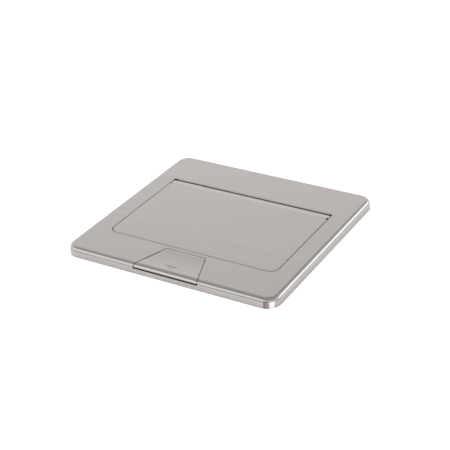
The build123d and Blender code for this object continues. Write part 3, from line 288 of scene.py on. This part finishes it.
# ---------------------------------------------------------------- cover, lid and slide
# Stainless sheet, ground with a fine belt from left to right. The rolled rim is ground along its own
# length and is smoother. The skirt below the rim carries painted shade and, at the front-right corner, a
# painted reflection. The slide carries a pressed triangle that shows which way to pull, with painted shade
# and painted highlight along its edges.
steel_colour = (0.672, 0.632, 0.622)
grain_across = 0.24 * mm
grain_along = 16 * mm
rim_start = 63.4 * mm
skirt_top = 4.1 * mm
corner_x = 57 * mm
corner_y = 57 * mm
# Painted reflection: a dark patch on the skirt at the front-right corner, sharp on its left side, between
# these two angles round the corner.
painted_reflection_start = math.radians(-80)
painted_reflection_end = math.radians(-38)
ground_shade = 0.87
line_contrast = 0.11
wide_contrast = 0.11
cloud_contrast = 0.04
# Painted shade: the vertical skirt below the rolled rim is drawn darker than the ground top, and its
# grinding streaks lighten it in places.
skirt_painted_shade = 0.66
streak_contrast = 0.34
painted_reflection_dark = 0.30
ground_roughness = 0.225
line_roughness = 0.06
rim_polish = 0.09
# Size of the pressed triangle, and of the painted shade and painted highlight lines drawn along its edges.
arrow_rear = -57.1 * mm
arrow_half = 3.7 * mm
arrow_length = 4.6 * mm
arrow_line = 0.28 * mm
arrow_softness = 0.05 * mm


def object_place(shading):
    """Object coordinates, as X, Y and Z."""
    return shading.parts(shading.out("ShaderNodeTexCoord", {}, {}, "Object"))


def noise(shading, x, y, z, size, detail=3.0):
    """Noise between 0 and 1 over lengths given as multiples of a size."""
    place = shading.out("ShaderNodeCombineXYZ", {}, {"X": x / size, "Y": y / size, "Z": z / size})
    return shading.out("ShaderNodeTexNoise", {}, {"Vector": place, "Scale": 1.0, "Detail": detail,
                                                   "Roughness": 0.6})


def grain(shading, x, y, z, along, across):
    """Noise drawn out along its first coordinate, between 0 and 1."""
    return noise(shading, x * (across / along), y, z, across)


def ground(name, arrow_light_painted):
    """Belt-ground stainless steel with painted shade on its skirt and a painted reflection at its
    front-right corner, and, when asked, painted shade and highlight on the slide's pressed triangle.
    """
    material, shading, shader = finish(name, Metallic=1.0)
    tree = shading.tree
    x, y, z = object_place(shading)
    side = abs(x).between(rim_start, rim_start + 0.3 * mm)
    rim = side.above(abs(y).between(rim_start, rim_start + 0.3 * mm))
    skirt = rim * (1 - z.between(skirt_top - 0.5 * mm, skirt_top + 0.5 * mm))
    lines = grain(shading, x, y, z, grain_along, grain_across) * (1 - side)
    lines += grain(shading, y, x, z, grain_along, grain_across) * side
    wide = grain(shading, x, y, z, 70 * mm, 1.6 * mm)
    streaks = grain(shading, y * side + x * (1 - side), z, z, 26 * mm, 0.5 * mm)
    cloud = noise(shading, x, y, z, 24 * mm, 2.0)
    # Mask of the painted reflection: an angle round the front-right corner, on the skirt only.
    turn = shading.out("ShaderNodeMath", {"operation": "ARCTAN2"}, {0: y + corner_y, 1: x - corner_x})
    painted_reflection = turn.between(painted_reflection_start, painted_reflection_start + 0.04) * (1 - turn.between(painted_reflection_start, painted_reflection_end))
    painted_reflection = painted_reflection * skirt * x.between(corner_x - 1 * mm, corner_x)
    # The tone is grain and cloud, less painted shade on the skirt and a painted reflection at the
    # front-right corner.
    shade = (ground_shade + lines * line_contrast + wide * wide_contrast + cloud * cloud_contrast
             - skirt * (skirt_painted_shade - streaks * streak_contrast) - painted_reflection * painted_reflection_dark)
    rough = ground_roughness + lines * line_roughness - rim * rim_polish
    if arrow_light_painted:
        # Painted shade and painted highlight on the pressed triangle: its inside a little darker, a dark
        # line along its base, and bright lines along its two slanted edges.
        reach = (y - (arrow_rear - arrow_length)) * (arrow_half / arrow_length)
        edge = reach - abs(x)
        behind = arrow_rear - y
        inside = edge.between(0, arrow_softness) * behind.between(0, arrow_softness)
        arrow_base_shade = inside * (1 - behind.between(arrow_line * 0.7, arrow_line * 1.3))
        bright = inside * (1 - edge.between(arrow_line, arrow_line * 1.6))
        shade = shade - inside * 0.08 - arrow_base_shade * 0.40 + bright * 0.42
    colour = shading.out("ShaderNodeVectorMath", {"operation": "SCALE"}, {0: steel_colour, "Scale": shade})
    bump = shading.out("ShaderNodeBump", {}, {"Strength": 0.22, "Distance": 0.015 * mm, "Height": lines})
    tree.links.new(colour.socket, shader.inputs["Base Color"])
    tree.links.new(rough.socket, shader.inputs["Roughness"])
    tree.links.new(bump.socket, shader.inputs["Normal"])
    return material


paint(["cover_frame", "lid_panel"], ground("ground_steel", False))
paint(["latch_slide"], ground("arrow_light_painted_steel", True))


# ---------------------------------------------------------------- plated and bright steel parts
# The frame, the lid's carrier, the brackets, the bolt and the claws are pressed sheet with a zinc
# plating, a little cloudy. Rod, screws and nuts are bright steel with fine turning marks.
def mottled(name, first, second, size, rough, relief, **constants):
    """A finish whose colour, roughness and height all vary with noise of one size."""
    material, shading, shader = finish(name, **constants)
    x, y, z = object_place(shading)
    blotch = noise(shading, x, y, z, size, 5.0)
    share = blotch.between(0.32, 0.68)
    colour = shading.mix(share, (*first, 1), (*second, 1))
    roughness = rough[0] + share * (rough[1] - rough[0])
    fine = noise(shading, x, y, z, size * 0.2, 3.0)
    bump = shading.out("ShaderNodeBump", {}, {"Strength": 0.4, "Distance": relief, "Height": fine})
    shading.tree.links.new(colour.socket, shader.inputs["Base Color"])
    shading.tree.links.new(roughness.socket, shader.inputs["Roughness"])
    shading.tree.links.new(bump.socket, shader.inputs["Normal"])
    return material


zinc_plate = mottled("zinc_plate", (0.52, 0.54, 0.57), (0.63, 0.64, 0.66), 2.2 * mm, (0.28, 0.44),
                     0.01 * mm, Metallic=1.0)
paint(["hinge_frame", "lid_carrier", "rear_bracket", "latch_bolt", "latch_guide", "latch_keeper",
       "clamp_claw_left", "clamp_claw_right", "clamp_nut_left", "clamp_nut_right"], zinc_plate)
bright_steel = mottled("bright_steel", (0.58, 0.58, 0.59), (0.68, 0.68, 0.68), 0.7 * mm, (0.16, 0.30),
                       0.006 * mm, Metallic=1.0)
paint(["hinge_rod", "cover_nuts", "lid_screws", "frame_screws", "keeper_screws", "sector_screws",
       "damper_screws", "bracket_screws", "latch_screws", "guide_screws", "box_screws"], bright_steel)

# ---------------------------------------------------------------- box and outlet frame
# The box and the frame round the outlets are folded steel with a grey powder coat, which has the
# small dimples of a baked powder.
grey_powder = mottled("grey_powder", (0.175, 0.178, 0.183), (0.205, 0.207, 0.212), 0.9 * mm, (0.42, 0.56),
                      0.05 * mm)
paint(["installation_box", "module_frame"], grey_powder)

# ---------------------------------------------------------------- outlets
# White moulded socket, charger and data inserts, smooth with a faint sink. Their contacts, and the
# box's earth terminal, are brass that has begun to dull.
white_plastic = mottled("white_plastic", (0.74, 0.74, 0.725), (0.78, 0.78, 0.765), 9 * mm, (0.22, 0.32),
                        0.006 * mm, Specular_IOR_Level=0.45)
paint(["socket_insert", "charger_insert", "data_insert"], white_plastic)
brass = mottled("brass", (0.66, 0.44, 0.16), (0.78, 0.57, 0.25), 1.1 * mm, (0.20, 0.38), 0.005 * mm,
                Metallic=1.0)
paint(["socket_earth_clips", "data_contacts", "earth_terminal"], brass)

# ---------------------------------------------------------------- dark and pale mouldings, rubber
# The damper and the clamp knobs are black moulded plastic with a fine spark-eroded grain. The
# gears are natural acetal, slightly translucent and waxy. Gasket, pads and plugs are matt rubber.
dark_plastic = mottled("dark_plastic", (0.018, 0.018, 0.020), (0.030, 0.030, 0.032), 0.5 * mm,
                       (0.46, 0.62), 0.03 * mm)
paint(["damper_body", "socket_terminals", "charger_tongues", "clamp_screw_left", "clamp_screw_right"],
      dark_plastic)
acetal = mottled("acetal", (0.66, 0.63, 0.55), (0.72, 0.70, 0.63), 3 * mm, (0.34, 0.44), 0.006 * mm)
paint(["toothed_sector", "damper_pinion"], acetal)
rubber = mottled("rubber", (0.012, 0.012, 0.012), (0.024, 0.024, 0.023), 1.5 * mm, (0.68, 0.88),
                 0.02 * mm, Specular_IOR_Level=0.3)
paint(["desk_gasket", "lid_bumpers", "cable_grommet", "entry_plugs"], rubber)

# ---------------------------------------------------------------- lid springs
# Two torsion springs of 0.8 mm wire wound round the hinge rod. One leg stands on the rear bracket,
# the other lies under the lid's carrier, so each coil winds up as the lid is shut.
coil_radius = 2.7 * mm
coil_wire = 0.4 * mm
coil_inner = 25.4 * mm
coil_outer = 30.6 * mm
rod_low, rod_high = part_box("hinge_rod")
hinge_y = (rod_low.y + rod_high.y) / 2
hinge_z = (rod_low.z + rod_high.z) / 2
leg_foot = hinge_z - 11.9 * mm
leg_tip = (12.7 * mm, 1.5 * mm)
wire_sides = 12
turn_steps = 32


def socket_of(tree, name, kind, value):
    """Adds a named input to a Geometry Nodes tree and gives its identifier with its value."""
    socket = tree.interface.new_socket(name, in_out="INPUT", socket_type="NodeSocket" + kind)
    return socket.identifier, value


def winding(name, material, order, sizes, start, points):
    """A helical spring with straight legs between pairs of points, baked to a mesh.

    Order says for the row's X, Y and Z which axis of the helix it takes, and with what sign. Sizes
    are the helix's turns, radius, length and wire. Start is the centre of its first turn.
    """
    tree = bpy.data.node_groups.new(name, "GeometryNodeTree")
    values = [socket_of(tree, size, "Float", value) for size, value in sizes.items()]
    values.append(socket_of(tree, "Centre", "Vector", start))
    values += [socket_of(tree, "Leg end %d" % (i + 1), "Vector", point) for i, point in enumerate(points)]
    tree.interface.new_socket("Geometry", in_out="OUTPUT", socket_type="NodeSocketGeometry")
    shape = Shading(tree)
    inputs = [Value(shape, output) for output in tree.nodes.new("NodeGroupInput").outputs]
    turns, radius, length, wire, centre = inputs[:5]
    helix = shape.out("GeometryNodeCurveSpiral", {}, {
        "Resolution": turn_steps, "Rotations": turns, "Height": length, "Start Radius": radius,
        "End Radius": radius})
    local = shape.parts(shape.out("GeometryNodeInputPosition", {}, {}))
    signed = [local[axis] * sign for axis, sign in order]
    turned = shape.out("ShaderNodeCombineXYZ", {}, {"X": signed[0], "Y": signed[1], "Z": signed[2]})
    place = shape.out("ShaderNodeVectorMath", {"operation": "ADD"}, {0: turned, 1: centre})
    curves = [shape.out("GeometryNodeSetPosition", {}, {"Geometry": helix, "Position": place})]
    for near, far in zip(inputs[5:-1:2], inputs[6:-1:2]):
        curves.append(shape.out("GeometryNodeCurvePrimitiveLine", {}, {"Start": near, "End": far}))
    joined = shape.add("GeometryNodeJoinGeometry", {}, {})
    for curve in curves:
        tree.links.new(curve.socket, joined.inputs[0])
    profile = shape.out("GeometryNodeCurvePrimitiveCircle", {}, {"Resolution": wire_sides, "Radius": wire})
    tube = shape.out("GeometryNodeCurveToMesh", {}, {"Curve": Value(shape, joined.outputs[0]),
                                                     "Profile Curve": profile, "Fill Caps": True})
    real = shape.out("GeometryNodeRealizeInstances", {}, {"Geometry": tube})
    coated = shape.out("GeometryNodeSetMaterial", {}, {"Geometry": real, "Material": material})
    tree.links.new(coated.socket, tree.nodes.new("NodeGroupOutput").inputs[0])
    return bake(name, tree, values)


def bake(name, tree, values):
    """Runs a Geometry Nodes tree once and keeps its mesh as an object at the origin."""
    piece = bpy.data.objects.new(name, bpy.data.meshes.new(name + "_seed"))
    bpy.context.scene.collection.objects.link(piece)
    modifier = piece.modifiers.new("shape", "NODES")
    modifier.node_group = tree
    for identifier, value in values:
        modifier[identifier] = value
    made = bpy.data.meshes.new_from_object(piece.evaluated_get(bpy.context.evaluated_depsgraph_get()))
    piece.modifiers.remove(modifier)
    piece.data = made
    made.name = name
    for face in made.polygons:
        face.use_smooth = True
    return piece


tip_y, tip_z = leg_tip[0] - hinge_y, leg_tip[1] - hinge_z
tip_angle = math.atan2(tip_z, tip_y) + math.acos(coil_radius / math.hypot(tip_y, tip_z))
coil_turns = 6 + 0.5 - tip_angle / (2 * math.pi)
for side, node in ((-1, "spring_left"), (1, "spring_right")):
    inner = side * coil_inner
    outer = side * coil_outer
    leave_y = hinge_y + coil_radius * math.cos(tip_angle)
    leave_z = hinge_z + coil_radius * math.sin(tip_angle)
    sizes = {"Turns": coil_turns, "Radius": coil_radius, "Length": coil_outer - coil_inner,
             "Wire": coil_wire}
    legs = [(inner, hinge_y - coil_radius, leg_foot), (inner, hinge_y - coil_radius, hinge_z),
            (outer, leave_y, leave_z), (outer, *leg_tip)]
    spring = winding(node + "_coil", bright_steel, ((2, side), (0, -1), (1, 1)), sizes,
                     (inner, hinge_y, hinge_z), legs)
    inner + side * coil_wire
    outer - side * coil_wire
    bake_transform(spring)
    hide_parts(node)

# ---------------------------------------------------------------- latch springs
# Two thin compression springs behind the guide's front wall push the bolt back under the lid.
spring_low, spring_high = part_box("latch_springs")
latch_coil = 1.3 * mm
latch_wire = 0.19 * mm
latch_turns = 8.0
latch_sleeve = 1.5 * mm
latch_x = spring_high.x - latch_sleeve
for side, name in ((-1, "latch_spring_coil_left"), (1, "latch_spring_coil_right")):
    sizes = {"Turns": latch_turns, "Radius": latch_coil,
             "Length": spring_high.y - spring_low.y - 2 * latch_wire, "Wire": latch_wire}
    start = (side * latch_x, spring_low.y + latch_wire, (spring_low.z + spring_high.z) / 2)
    spring = winding(name, bright_steel, ((0, 1), (2, 1), (1, 1)), sizes, start, [])
    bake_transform(spring)
    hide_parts("latch_springs")
